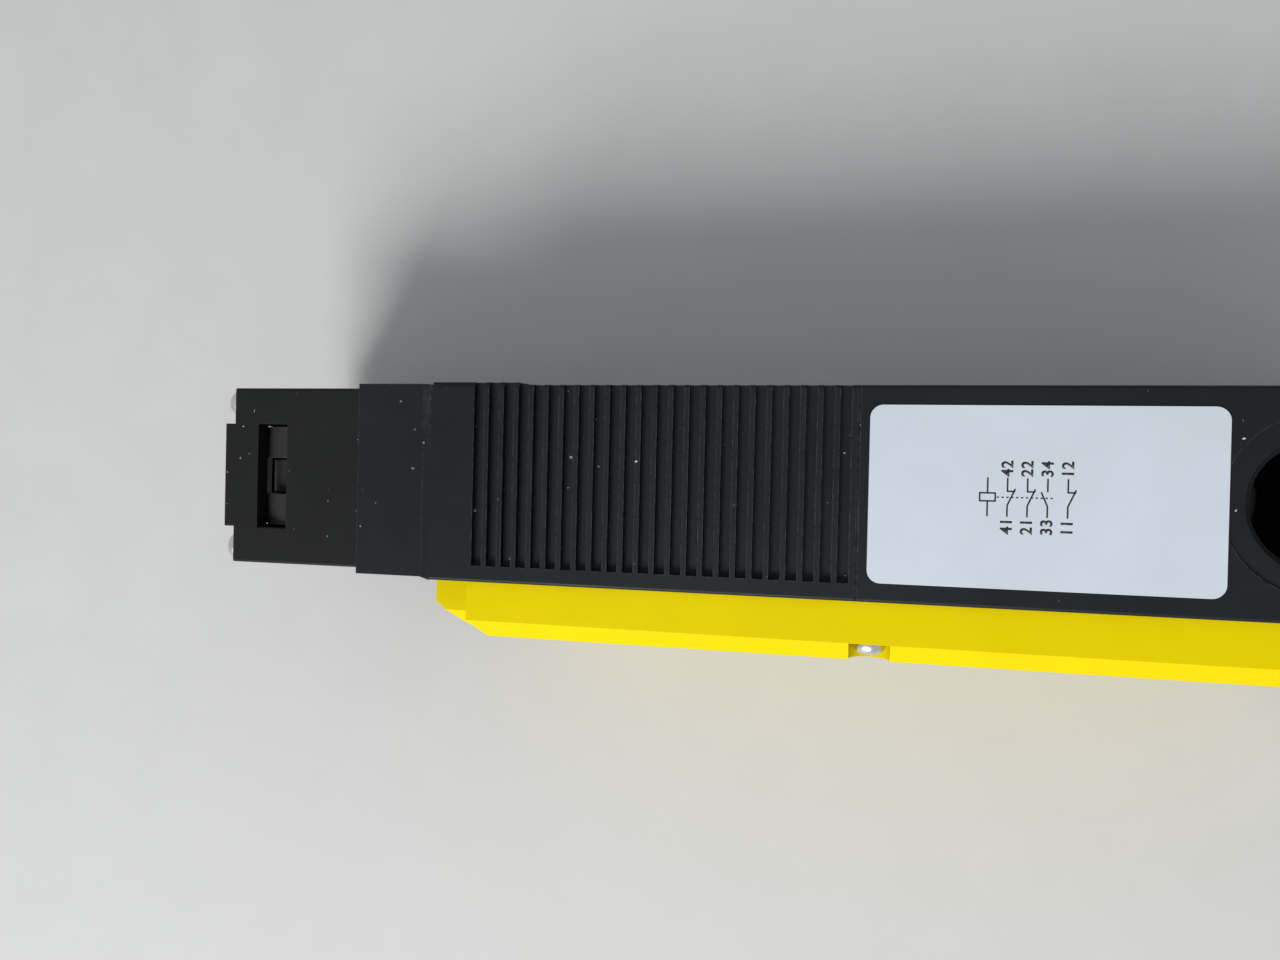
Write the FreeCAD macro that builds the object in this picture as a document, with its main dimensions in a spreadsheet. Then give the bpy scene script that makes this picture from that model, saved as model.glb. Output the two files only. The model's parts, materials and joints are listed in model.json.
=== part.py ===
import FreeCAD, Part
import math
import os
import re

import Sketcher

# Tongue interlock switch with solenoid locking, in millimetres.
# +X runs from the actuator head to the cable end, the mounting face looks along +Y and the
# cover along -Y, and +Z is the side that carries the rating plate. The origin is the centre
# of the four mounting holes, on the mounting face.

doc = FreeCAD.newDocument("tongue_interlock_switch")
sizes = doc.addObject("Spreadsheet::Sheet", "Sizes")
places = doc.addObject("App::FeaturePython", "Places")

# ---------------------------------------------------------------- driving dimensions
SIZES = {
    # casing
    "hole_spacing_x": 150.0,       # mounting holes, along the switch
    "hole_spacing_z": 40.0,        # mounting holes, across the switch
    "mount_hole_r": 2.65,          # clearance hole for an M5 screw
    "body_width": 52.0,
    "body_depth": 33.5,            # main casing, mounting side to parting line
    "back_relief": 0.4,            # the casing stands this far behind its mounting pads
    "end_margin": 6.0,             # cable end beyond the mounting holes
    "neck_margin": 1.4,            # neck shoulder beyond the mounting holes
    "neck_length": 14.7,
    "neck_ramp": 2.5,
    "neck_drop_z": 1.7,
    "neck_drop_y": 0.3,
    "neck_relief": 0.15,           # neck behind the mounting plane
    "pad_length": 15.4,
    "pad_slope": 2.5,
    "wall": 3.4,
    "floor_wall": 3.0,
    "edge_round": 0.6,
    # ribs on both broad sides
    "rib_count": 24.0,
    "rib_pitch": 2.64,
    "groove_width": 1.75,
    "groove_depth": 1.2,
    "groove_start": 6.4,           # first groove from the mounting hole
    "groove_foot": 2.8,            # plain strip between grooves and parting line
    "seam_gap": 1.0,               # hairline seam behind the last rib
    "seam_width": 0.3,
    "seam_depth": 0.25,
    # cable entries
    "entry_r": 9.2,                # core of an M20 x 1.5 thread
    "entry_lead": 0.8,
    "entry_face_r": 13.1,
    "entry_face_depth": 0.4,
    "entry_from_hole": 16.5,       # entry centre before the mounting holes
    "entry_boss_r": 12.4,
    "entry_boss_depth": 2.6,
    # cover
    "lid_shoulder_gap": 5.0,       # mounting hole to the cover's shoulder
    "lid_inset": 1.3,
    "lid_nose_z": 14.5,
    "lid_nose_reach": 5.2,
    "lid_end_gap": 1.4,
    "lid_depth": 9.7,
    "lid_chamfer": 3.0,
    "lid_nose_bevel_x": 5.5,
    "lid_nose_bevel_y": 4.5,
    "lid_skin": 2.6,
    "cavity_land": 2.6,
    "nose_land_z": 2.5,
    "nose_land_x": 8.0,
    "seal_overlap": 1.2,
    "seal_thick": 1.2,
    "seal_gap": 0.1,
    # cover screws
    "side_screw_x": -2.7,
    "lid_screw_inset": 3.3,
    "end_screw_inset": 4.2,
    "lid_screw_boss": 5.2,
    "lid_screw_wall": 4.5,
    "lid_screw_r": 1.75,
    "lid_screw_head_r": 2.6,
    "lid_screw_head": 1.9,
    "lid_screw_length": 12.0,
    "lid_screw_dome": 1.5,
    "lid_screw_drive_r": 1.4,
    "drive_valley": 0.4,           # how far the star drive's valleys come in
    "drive_depth": 1.1,
    "screw_point": 0.6,
    "lid_notch_half": 3.15,
    "screw_gap": 0.15,
    # rating plate
    "plate_length": 49.8,
    "plate_width": 27.4,
    "plate_corner": 2.0,
    "plate_thick": 0.15,
    "plate_from_seam": 1.75,
    # actuator head
    "head_size": 33.2,
    "head_length": 30.4,
    "head_step": 2.0,
    "head_step_width": 19.6,
    "head_edge": 0.5,
    "cam_offset_x": 14.0,         # cam axis behind the head's raised face
    "cam_offset_z": 13.8,          # cam axis below the head's side face
    "cam_r": 12.4,
    "cam_gap": 0.35,
    "cam_width": 18.8,
    "cam_waist": 6.2,              # middle disc that drives the plunger
    "cam_throat": 6.9,             # gap between the two outer discs
    "cam_catch_depth": 5.0,
    "cam_catch_half": 9.0,         # half angle of the tongue catch
    "cam_flat": 9.0,
    "cam_turn": 60.0,
    "shaft_r": 3.0,
    "shaft_fit": 0.05,
    "shaft_end_gap": 0.5,
    "slot_length": 19.6,
    "slot_width": 6.2,
    "slot_near": 0.8,              # slot edge beside the cam axis
    "slot_lead": 0.2,
    "channel_top": 13.0,
    "base_plate": 3.3,
    "head_screw_pitch": 27.5,
    "head_screw_r": 1.9,
    "head_screw_head_r": 2.75,
    "head_screw_head": 2.3,
    "head_screw_grip": 9.0,
    "head_screw_dome": 2.0,
    "head_screw_drive_r": 1.65,
    "screw_tip_gap": 1.0,
    # plunger
    "plunger_r": 3.0,
    "plunger_fit": 0.05,
    "plunger_stroke": 5.5,
    "plunger_reach": 13.2,         # plunger tip centre from the cam axis
    "tip_gap": 0.3,
    "collar_r": 6.0,
    "collar_thick": 2.5,
    "collar_from_hole": 9.0,
    "spring_room": 12.5,
    "bush_r": 6.0,
    "bush_length": 10.0,
    "bore_r": 4.2,
    "seal_section": 1.1,
    "seal_room": 3.0,              # end of the bush's seat kept for the lip seal
    "seal_taper": 0.5,
    "press_gap": 0.02,             # free space left at a pressed seat
    # contact block
    "contact_wall": 2.5,
    "contact_length": 32.0,
    "contact_half_z": 12.0,
    "contact_half_y": 11.0,
    "contact_cheek": 2.5,
    "carrier_length": 18.0,
    "carrier_half_z": 4.5,
    "carrier_half_y": 8.0,
    "bridge_count": 2.0,
    "bridge_pitch": 7.8,
    "bridge_half_z": 8.0,
    "bridge_width": 2.4,
    "bridge_thick": 0.6,
    "contact_gap": 0.4,
    "contact_strip": 0.8,
    "part_gap": 0.4,               # free space between pieces of different bodies
    # lock
    "waist_r": 1.8,
    "waist_from_wall": 4.0,
    "waist_head": 2.0,
    "waist_seat": 6.0,
    "bolt_r": 2.5,
    "bolt_fit": 0.05,
    "bolt_travel": 4.0,
    "bolt_length": 15.5,
    "bolt_tip_gap": 0.5,
    "ear_thick": 2.5,
    "ear_half": 3.6,
    "lock_ear_low": 4.4,
    "lock_ear_high": 14.6,
    "pin_rest_z": 9.0,
    "cross_pin_r": 1.0,
    "cross_pin_fit": 0.08,
    "link_thick": 1.5,
    "link_offset": 4.2,
    "link_nose": 1.0,
    "link_foot": 4.0,
    "slot_overrun": 0.5,           # link slot beyond the pin's last place
    "pin_stand": 0.5,              # cross pin beyond the link plate
    "bracket_thick": 1.5,
    # solenoid
    "armature_r": 4.5,
    "armature_fit": 0.08,
    "armature_head_r": 6.5,
    "armature_head": 2.0,
    "armature_from_rod": 2.2,
    "armature_length": 25.0,
    "armature_spring_room": 9.0,
    "frame_length": 32.0,
    "frame_half_z": 11.0,
    "frame_half_y": 10.0,
    "frame_thick": 2.0,
    "bobbin_wall": 0.8,
    "bobbin_flange": 1.2,
    "coil_r": 9.6,
    "coil_gap": 0.1,
    # terminals
    "terminal_count": 5.0,
    "terminal_pitch": 7.2,
    "terminal_depth": 17.0,
    "terminal_width": 7.2,
    "terminal_from_wall": 0.3,
    "terminal_start": 8.0,
    "terminal_rib": 0.8,
    "terminal_recess": 4.0,
    "clamp_width": 4.6,
    "clamp_thick": 1.0,
    "terminal_screw_r": 1.9,
    "terminal_screw_length": 7.0,
    "terminal_screw_head_r": 2.4,
    "terminal_screw_head": 1.4,
    "terminal_screw_dome": 0.5,
    "terminal_drive_half": 0.35,
    # circuit board
    "board_thick": 1.2,
    "board_length": 29.0,
    "board_half_z": 11.5,
    "board_inset": 1.5,
    "diode_from_end": 4.0,
    "diode_from_edge": 2.0,
    "diode_length": 8.0,
    "diode_width": 7.0,
    "diode_height": 3.0,
    "capacitor_from_end": 21.0,
    "capacitor_from_edge": 6.0,
    "capacitor_r": 4.0,
    "capacitor_height": 7.0,
    "varistor_from_end": 16.0,
    "varistor_from_edge": 3.0,
    "varistor_length": 10.0,
    "varistor_width": 2.5,
    "varistor_height": 6.0,
    # manual release in the cover
    "release_x": -25.0,
    "release_from_wall": 5.4,
    "release_r": 2.5,
    "release_head_r": 3.9,
    "release_head": 2.4,
    "release_finger": 4.4,
    "release_finger_depth": 4.0,
    "release_slot": 1.2,
    "release_wall": 1.4,
    "release_boss_depth": 6.0,
    "release_reach": 1.0,          # finger beyond the link plate
    "release_finger_half": 1.0,
    "release_slot_depth": 1.2,
    "clip_margin": 1.6,
    "clip_thick": 0.8,
    "shaft_seat": 3.0,
    "cam_overrun": 24.0,
    "cam_step_angle": 30.0,
    "cam_hub_r": 4.4,
    "spring_wire_r": 0.5,
    "plunger_spring_gap": 1.6,     # rod to the middle of the wire
    "armature_spring_gap": 1.0,
    "spring_turns": 5.0,
    "contact_floor": 2.0,
    "contact_lap": 1.6,
    "link_margin": 2.4,
}

for row, (alias, number) in enumerate(SIZES.items(), start=1):
    sizes.set(f"A{row}", alias.replace("_", " "))
    sizes.set(f"B{row}", str(number))
    sizes.setAlias(f"B{row}", alias)
doc.recompute()


def full(expression):
    """Point each plain word of an expression at the sheet or at a named place."""
    def owner(word):
        name = word.group(0)
        if name in SIZES:
            return "Sizes." + name
        if name in places.PropertiesList:
            return "Places." + name
        return name
    return re.sub(r"[a-z][a-z_]*", owner, expression)


def place(name, expression):
    """A named place or size that is worked out from the sheet."""
    places.addProperty("App::PropertyFloat", name, "Places")
    places.setExpression(name, full(expression))
    doc.recompute()


def number(name):
    """Present value of a size or a place."""
    return getattr(sizes if name in SIZES else places, name)


# ---------------------------------------------------------------- places
place("hole_x", "hole_spacing_x / 2")
place("hole_z", "hole_spacing_z / 2")
place("half_z", "body_width / 2")
place("parting", "back_relief + body_depth")
place("middle_y", "-(back_relief + body_depth / 2)")
place("axis_y", "-(neck_relief + parting - neck_drop_y) / 2")
place("end_x", "hole_x + end_margin")
place("shoulder_x", "-(hole_x + neck_margin)")
place("ramp_x", "shoulder_x - neck_ramp")
place("neck_x", "shoulder_x - neck_length")
place("neck_z", "half_z - neck_drop_z")
place("groove_x", "-(hole_x - groove_start)")
place("seam_x", "groove_x + (rib_count - 1) * rib_pitch + groove_width + seam_gap")
place("entry_x", "hole_x - entry_from_hole")
place("lid_wide_x", "hole_x - lid_shoulder_gap")
place("lid_wide_z", "half_z - lid_inset")
place("lid_nose_x", "hole_x + lid_nose_reach")
place("lid_front", "parting + lid_depth")
place("cavity_wide_x", "lid_wide_x - cavity_land")
place("cavity_wide_z", "half_z - wall")
place("cavity_nose_x", "lid_nose_x - nose_land_x")
place("cavity_nose_z", "lid_nose_z - nose_land_z")
place("cavity_floor", "back_relief + floor_wall")
place("side_screw_z", "lid_wide_z - lid_screw_inset")
place("end_screw_x", "lid_nose_x - end_screw_inset")
place("release_z", "cavity_wide_z - release_from_wall")
place("lid_seat", "lid_front - lid_chamfer")
place("release_boss_end", "lid_front - lid_skin - release_boss_depth")
place("head_end_x", "neck_x - head_length")
place("head_face_x", "head_end_x - head_step")
place("head_half", "head_size / 2")
place("cam_x", "head_face_x + cam_offset_x")
place("cam_z", "head_half - cam_offset_z")
place("cam_bore_r", "cam_r + cam_gap")
place("rod_tip_x", "cam_x + plunger_reach")
place("collar_x", "-(hole_x - collar_from_hole)")
place("spring_end_x", "collar_x + collar_thick + spring_room")
place("contact_x", "spring_end_x")
place("contact_end_x", "contact_x + contact_length")
place("carrier_x", "contact_x + contact_wall + plunger_stroke + part_gap")
place("waist_x", "contact_end_x + waist_from_wall")
place("waist_end_x", "waist_x + 2 * bolt_r + plunger_stroke + 2 * part_gap")
place("rod_end_x", "waist_end_x + waist_head")
place("bolt_x", "(waist_x + waist_end_x - plunger_stroke) / 2")
place("bolt_low_z", "waist_r + bolt_tip_gap")
place("armature_x", "rod_end_x + armature_from_rod")
place("frame_x", "armature_x + armature_head + armature_spring_room")
place("frame_end_x", "frame_x + frame_length")


# ---------------------------------------------------------------- modelling helpers
NODES = []


def node(piece, label):
    """Name a finished sub-part and put it on the list that is written out."""
    piece.Label = label
    NODES.append(piece)
    return piece


def bind(piece, prop, expression):
    piece.setExpression(prop, full(str(expression)))


def new_body(label):
    return node(doc.addObject("PartDesign::Body", label), label)


def outline(body, name, role, offset, loops):
    """Sketch on an origin plane of the body. A loop is a list of corners or (x, y, radius)."""
    sketch = body.newObject("Sketcher::SketchObject", name)
    plane = next(item for item in body.Origin.OriginFeatures if item.Role == role)
    sketch.AttachmentSupport = (plane, [""])
    sketch.MapMode = "FlatFace"
    bind(sketch, "AttachmentOffset.Base.z", offset)

    def fix(kind, geometry, point, expression):
        index = sketch.addConstraint(Sketcher.Constraint(kind, geometry, point, 1.0))
        bind(sketch, f"Constraints[{index}]", expression)

    for loop in loops:
        first = sketch.GeometryCount
        if isinstance(loop, tuple):
            circle = Part.Circle(FreeCAD.Vector(0, 0, 0), FreeCAD.Vector(0, 0, 1), 1)
            sketch.addGeometry(circle)
            radius = sketch.addConstraint(Sketcher.Constraint("Radius", first, 1.0))
            bind(sketch, f"Constraints[{radius}]", loop[2])
            fix("DistanceX", first, 3, loop[0])
            fix("DistanceY", first, 3, loop[1])
            continue
        count = len(loop)
        ring = [FreeCAD.Vector(math.cos(math.tau * k / count), math.sin(math.tau * k / count), 0)
                for k in range(count)]
        for k in range(count):
            sketch.addGeometry(Part.LineSegment(ring[k], ring[(k + 1) % count]))
        for k in range(count):
            follower = first + (k + 1) % count
            sketch.addConstraint(Sketcher.Constraint("Coincident", first + k, 2, follower, 1))
        for k, (across, up) in enumerate(loop):
            fix("DistanceX", first + k, 1, across)
            fix("DistanceY", first + k, 1, up)
    return sketch


def rectangle(left, low, right, high):
    return [(left, low), (right, low), (right, high), (left, high)]


def pad(body, name, role, offset, loops, length, symmetric=False):
    feature = body.newObject("PartDesign::Pad", name)
    feature.Profile = outline(body, name + "_sketch", role, offset, loops)
    feature.Midplane = symmetric
    bind(feature, "Length", length)
    body.Tip = feature
    return feature


def pocket(body, name, role, offset, loops, depth=None, against=False, symmetric=False):
    """Cut away from the sketch plane, against its normal unless told otherwise."""
    feature = body.newObject("PartDesign::Pocket", name)
    feature.Profile = outline(body, name + "_sketch", role, offset, loops)
    feature.Reversed = against
    feature.Midplane = symmetric
    if depth is None:
        feature.Type = 1
    else:
        bind(feature, "Length", depth)
    body.Tip = feature
    return feature


def edges(feature, wanted):
    """Names of the feature's edges whose middle point and shape the test accepts."""
    return [f"Edge{k}" for k, edge in enumerate(feature.Shape.Edges, start=1) if wanted(edge)]


def dress(body, kind, name, base, wanted, size):
    """Fillet or chamfer the wanted edges of a base feature."""
    doc.recompute()
    feature = body.newObject("PartDesign::" + kind, name)
    feature.Base = (base, edges(base, wanted))
    bind(feature, "Radius" if kind == "Fillet" else "Size", size)
    body.Tip = feature
    doc.recompute()
    return feature


def near(value, target, slack=0.01):
    return abs(value - target) < slack


def revolved(body, name, role, offset, loop, spin):
    """Turned piece: a closed half profile spun about the sketch's own axis ("H" or "V")."""
    feature = body.newObject("PartDesign::Revolution", name)
    sketch = outline(body, name + "_sketch", role, offset, [loop])
    feature.Profile = sketch
    feature.ReferenceAxis = (sketch, [spin + "_Axis"])
    feature.Angle = 360
    body.Tip = feature
    return feature


def block(name, low, high):
    """Box between two corners given as expressions."""
    piece = doc.addObject("Part::Box", name)
    for prop, start, end in zip(("Length", "Width", "Height"), low, high):
        bind(piece, prop, f"({end}) - ({start})")
    for axis, start in zip("xyz", low):
        bind(piece, f"Placement.Base.{axis}", start)
    return piece


TURNS = {
    "X": FreeCAD.Rotation(FreeCAD.Vector(0, 1, 0), 90),
    "Y": FreeCAD.Rotation(FreeCAD.Vector(1, 0, 0), -90),
    "Z": FreeCAD.Rotation(),
}


def rod(name, axis, start, radius, length):
    """Cylinder that runs along +axis from its start point."""
    piece = doc.addObject("Part::Cylinder", name)
    piece.Placement = FreeCAD.Placement(FreeCAD.Vector(), TURNS[axis])
    bind(piece, "Radius", radius)
    bind(piece, "Height", length)
    for coordinate, value in zip("xyz", start):
        bind(piece, f"Placement.Base.{coordinate}", value)
    return piece


def fuse(name, *pieces):
    joined = doc.addObject("Part::MultiFuse", name)
    joined.Shapes = list(pieces)
    joined.Refine = True
    return joined


def cut(name, base, *tools):
    result = doc.addObject("Part::Cut", name)
    result.Base = base
    result.Tool = tools[0] if len(tools) == 1 else fuse(name + "_tools", *tools)
    return result


def group(label, pieces):
    """Several like solids that share one node."""
    together = doc.addObject("Part::Compound", label)
    together.Links = list(pieces)
    return node(together, label)


def copies(label, master, stations):
    """Copies of one turned master, whose axis is +Z, standing at points along directions."""
    doc.recompute()
    solids = []
    for point, direction in stations:
        turn = FreeCAD.Rotation(FreeCAD.Vector(0, 0, 1), FreeCAD.Vector(*direction))
        solid = master.Shape.copy()
        solid.Placement = FreeCAD.Placement(FreeCAD.Vector(*point), turn)
        solids.append(solid)
    together = doc.addObject("Part::Feature", label)
    together.Shape = Part.makeCompound(solids)
    return node(together, label)


def rim(grow):
    """Outline of the casing's mouth, grown outwards: wide middle, two noses, two screw bosses."""
    wide_x = f"(cavity_wide_x + ({grow}))"
    wide_z = f"(cavity_wide_z + ({grow}))"
    nose_x = f"(cavity_nose_x + ({grow}))"
    nose_z = f"(cavity_nose_z + ({grow}))"
    boss_z = f"(side_screw_z - lid_screw_wall + ({grow}))"
    boss_right = f"(side_screw_x + lid_screw_boss - ({grow}))"
    boss_left = f"(side_screw_x - lid_screw_boss + ({grow}))"
    upper = [(nose_x, nose_z), (wide_x, nose_z), (wide_x, wide_z), (boss_right, wide_z),
             (boss_right, boss_z), (boss_left, boss_z), (boss_left, wide_z),
             (f"-{wide_x}", wide_z), (f"-{wide_x}", nose_z), (f"-{nose_x}", nose_z)]
    lower = [(across, f"-{up}") for across, up in reversed(upper)]
    return upper + lower


# ---------------------------------------------------------------- casing
def make_housing():
    """Moulded casing: neck, ramp, ribbed sides, cavity, cable entries and mounting holes."""
    body = new_body("housing")
    main = pad(body, "main_block", "XZ_Plane", "back_relief",
               [rectangle("shoulder_x", "-half_z", "end_x", "half_z")], "body_depth")
    dress(body, "Fillet", "long_edges", main,
          lambda edge: edge.BoundBox.XLength > number("hole_spacing_x"), "edge_round")
    neck = rectangle("-(parting - neck_drop_y)", "-neck_z", "-neck_relief", "neck_z")
    full_end = rectangle("-(parting)", "-half_z", "-(back_relief)", "half_z")
    inner_end = outline(body, "ramp_neck_sketch", "YZ_Plane", "ramp_x", [neck])
    outer_end = outline(body, "ramp_main_sketch", "YZ_Plane", "shoulder_x", [full_end])
    ramp = body.newObject("PartDesign::AdditiveLoft", "ramp")
    ramp.Profile = inner_end
    ramp.Sections = [outer_end]
    ramp.Ruled = True
    body.Tip = ramp
    pad(body, "neck", "YZ_Plane", "neck_x", [neck], "ramp_x - neck_x")
    pad_foot = "hole_x + neck_margin - pad_length"
    for side, outer in (("-", "shoulder_x"), ("", "end_x")):
        profile = [(outer, "-back_relief"), (outer, "0"), (f"{side}({pad_foot})", "0"),
                   (f"{side}({pad_foot} - pad_slope)", "-back_relief")]
        pad(body, "mounting_pad" + ("_head" if side else "_cable"), "XY_Plane", "0", [profile],
            "body_width - 2 * edge_round", symmetric=True)
    for side, sign in (("top", ""), ("bottom", "-")):
        groove = pocket(body, f"groove_{side}", "XY_Plane", f"{sign}half_z",
                        [rectangle("groove_x", "-(parting - groove_foot)",
                                   "groove_x + groove_width", "1")],
                        "groove_depth", against=side == "bottom")
        row = body.newObject("PartDesign::LinearPattern", f"grooves_{side}")
        row.Originals = [groove]
        row.Direction = (groove.Profile[0], ["H_Axis"])
        bind(row, "Length", "rib_pitch * (rib_count - 1)")
        bind(row, "Occurrences", "rib_count")
        body.Tip = row
        pocket(body, f"seam_{side}", "XY_Plane", f"{sign}half_z",
               [rectangle("seam_x", "-(parting + 1)", "seam_x + seam_width", "1")],
               "seam_depth", against=side == "bottom")
    pocket(body, "cavity", "XZ_Plane", "parting", [rim("0")], "body_depth - floor_wall")
    for side, sign in (("top", ""), ("bottom", "-")):
        boss = pad(body, f"entry_boss_{side}", "XY_Plane", f"{sign}cavity_wide_z",
                   [("entry_x", "middle_y", "entry_boss_r")], "entry_boss_depth")
        boss.Reversed = side == "top"
        pocket(body, f"entry_face_{side}", "XY_Plane", f"{sign}half_z",
               [("entry_x", "middle_y", "entry_face_r")], "entry_face_depth",
               against=side == "bottom")
        pocket(body, f"entry_bore_{side}", "XY_Plane", f"{sign}half_z",
               [("entry_x", "middle_y", "entry_r")], "wall + entry_boss_depth",
               against=side == "bottom")
    pocket(body, "entry_face_end", "YZ_Plane", "end_x",
           [("middle_y", "0", "entry_face_r")], "entry_face_depth")
    bores = pocket(body, "entry_bore_end", "YZ_Plane", "end_x",
                   [("middle_y", "0", "entry_r")], "end_x - cavity_nose_x")
    doc.recompute()

    def mouth(edge):
        if not isinstance(edge.Curve, Part.Circle) or not near(edge.Curve.Radius, number("entry_r")):
            return False
        centre = edge.Curve.Center
        face = number("half_z") - number("entry_face_depth")
        return near(abs(centre.z), face) or near(centre.x, number("end_x") - number("entry_face_depth"))

    dress(body, "Chamfer", "entry_leads", bores, mouth, "entry_lead")
    pocket(body, "mounting_holes", "XZ_Plane", "parting + 1",
           [(f"{a}hole_x", f"{b}hole_z", "mount_hole_r") for a in ("", "-") for b in ("", "-")])
    side_holes = [("side_screw_x", f"{sign}side_screw_z", "lid_screw_r - screw_gap") for sign in ("", "-")]
    end_holes = [(f"{sign}end_screw_x", "0", "lid_screw_r - screw_gap") for sign in ("", "-")]
    pocket(body, "cover_screw_holes", "XZ_Plane", "parting", side_holes + end_holes,
           "lid_screw_length - (lid_seat - parting)")
    pocket(body, "neck_bore", "YZ_Plane", "neck_x", [("axis_y", "0", "bush_r")], "bush_length",
           against=True)
    pocket(body, "plunger_bore", "YZ_Plane", "neck_x", [("axis_y", "0", "bore_r")],
           "-cavity_nose_x - neck_x + 1", against=True)
    corners = [(f"axis_y {a} head_screw_pitch / 2", f"{b}head_screw_pitch / 2",
                "head_screw_r - screw_gap") for a in "+-" for b in ("", "-")]
    pocket(body, "head_screw_holes", "YZ_Plane", "neck_x", [*corners], "head_screw_grip", against=True)
    doc.recompute()


def make_lid():
    """Cover: bevelled cross-shaped shell with screw notches in its rim and a seal recess."""
    body = new_body("lid")
    right_nose = "end_x - lid_end_gap"
    left_nose = "-lid_nose_x"
    upper = [(right_nose, "lid_nose_z"), ("lid_wide_x", "lid_nose_z"), ("lid_wide_x", "lid_wide_z"),
             ("-lid_wide_x", "lid_wide_z"), ("-lid_wide_x", "lid_nose_z"), (left_nose, "lid_nose_z")]
    lower = [(across, f"-{up}") for across, up in reversed(upper)]
    shell = pad(body, "cover_block", "XZ_Plane", "parting", [upper + lower], "lid_depth")
    for name, tip, inward in (("head", left_nose, "+"), ("cable", right_nose, "-")):
        wedge = [(tip, "-lid_front"), (f"{tip} {inward} lid_nose_bevel_x", "-lid_front"),
                 (tip, "-(lid_front - lid_nose_bevel_y)")]
        shell = pocket(body, f"nose_bevel_{name}", "XY_Plane", "0", [wedge], "body_width",
                       symmetric=True)
    doc.recompute()
    front = -number("lid_front")
    bevelled = number("lid_nose_x") - number("lid_nose_bevel_x")

    def front_rim(edge):
        box = edge.BoundBox
        if not (near(box.YMin, front) and near(box.YMax, front)):
            return False
        return box.XLength > 0.1 or near(abs(box.XMin), number("lid_wide_x"))

    dress(body, "Chamfer", "front_chamfer", shell, front_rim, "lid_chamfer")
    for index, sign in enumerate(("", "-")):
        inner, outer = f"{sign}side_screw_z", f"{sign}(lid_wide_z + 1)"
        slot = [rectangle("side_screw_x - lid_notch_half", inner, "side_screw_x + lid_notch_half", outer)]
        pocket(body, f"side_notch_{index}", "XZ_Plane", "lid_front", slot, "lid_front - lid_seat")
        pocket(body, f"side_notch_round_{index}", "XZ_Plane", "lid_front",
               [("side_screw_x", inner, "lid_notch_half")], "lid_front - lid_seat")
        inner, outer = f"{sign}end_screw_x", f"{sign}(lid_nose_x + 1)"
        slot = [rectangle(inner, "-lid_notch_half", outer, "lid_notch_half")]
        pocket(body, f"end_notch_{index}", "XZ_Plane", "lid_front", slot, "lid_front - lid_seat")
        pocket(body, f"end_notch_round_{index}", "XZ_Plane", "lid_front",
               [(inner, "0", "lid_notch_half")], "lid_front - lid_seat")
    screw_holes = [(f"side_screw_x", f"{sign}side_screw_z", "lid_screw_r + screw_gap") for sign in ("", "-")]
    screw_holes += [(f"{sign}end_screw_x", "0", "lid_screw_r + screw_gap") for sign in ("", "-")]
    pocket(body, "screw_holes", "XZ_Plane", "lid_front", screw_holes)
    pocket(body, "seal_recess", "XZ_Plane", "parting", [rim("seal_overlap + seal_gap")], "seal_thick",
           against=True)
    pocket(body, "hollow", "XZ_Plane", "parting", [rim("-seal_gap")], "lid_depth - lid_skin",
           against=True)
    boss = [("release_x", "release_z", "release_r + seal_section + release_wall")]
    sleeve = pad(body, "release_boss", "XZ_Plane", "lid_front - lid_skin", boss, "release_boss_depth")
    sleeve.Reversed = True
    pocket(body, "release_cup", "XZ_Plane", "lid_front",
           [("release_x", "release_z", "release_head_r + part_gap")], "release_head + part_gap")
    pocket(body, "release_bore", "XZ_Plane", "lid_front",
           [("release_x", "release_z", "release_r + shaft_fit")])
    pocket(body, "release_seal_seat", "XZ_Plane", "release_boss_end",
           [("release_x", "release_z", "release_r + seal_section + shaft_fit")],
           "seal_section + seal_gap", against=True)


def make_lid_seal():
    """Flat rubber gasket that the cover presses on the casing's rim."""
    body = new_body("lid_seal")
    pad(body, "gasket", "XZ_Plane", "parting", [rim("seal_overlap"), rim("0")], "seal_thick")


def star(radius):
    """Six-pointed drive recess, in place of six round lobes."""
    corners = []
    for k in range(12):
        reach = radius if k % 2 else f"({radius} - drive_valley)"
        angle = math.tau * k / 12
        corners.append((f"{reach} * {math.cos(angle):.5f}", f"{reach} * {math.sin(angle):.5f}"))
    return corners


def turned_screw(name, shank_r, head_r, head_height, length, dome, drive):
    """Pan-head screw along +Z, head below the origin and shank above, with a drive recess."""
    body = doc.addObject("PartDesign::Body", name)
    profile = [("0", f"-{head_height}"), (head_r, f"-{head_height}"), (head_r, "0"), (shank_r, "0"),
               (shank_r, f"{length} - screw_point"), (f"{shank_r} - screw_point", length), ("0", length)]
    turned = revolved(body, name + "_turned", "XZ_Plane", "0", profile, "V")
    doc.recompute()
    top = -number(head_height)
    dress(body, "Fillet", name + "_dome", turned,
          lambda edge: near(edge.BoundBox.ZMin, top) and near(edge.BoundBox.ZMax, top), dome)
    pocket(body, name + "_drive", "XY_Plane", f"-{head_height}", [drive], "drive_depth", against=True)
    return body


def make_lid_screws():
    """Four cover screws, seated in the notches of the cover's rim."""
    master = turned_screw("lid_screw_master", "lid_screw_r - 2 * screw_gap", "lid_screw_head_r",
                          "lid_screw_head", "lid_screw_length", "lid_screw_dome",
                          star("lid_screw_drive_r"))
    seat = -number("lid_seat")
    inward = (0, 1, 0)
    stations = [((number("side_screw_x"), seat, side * number("side_screw_z")), inward) for side in (1, -1)]
    stations += [((side * number("end_screw_x"), seat, 0), inward) for side in (1, -1)]
    copies("lid_screws", master, stations)


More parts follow.
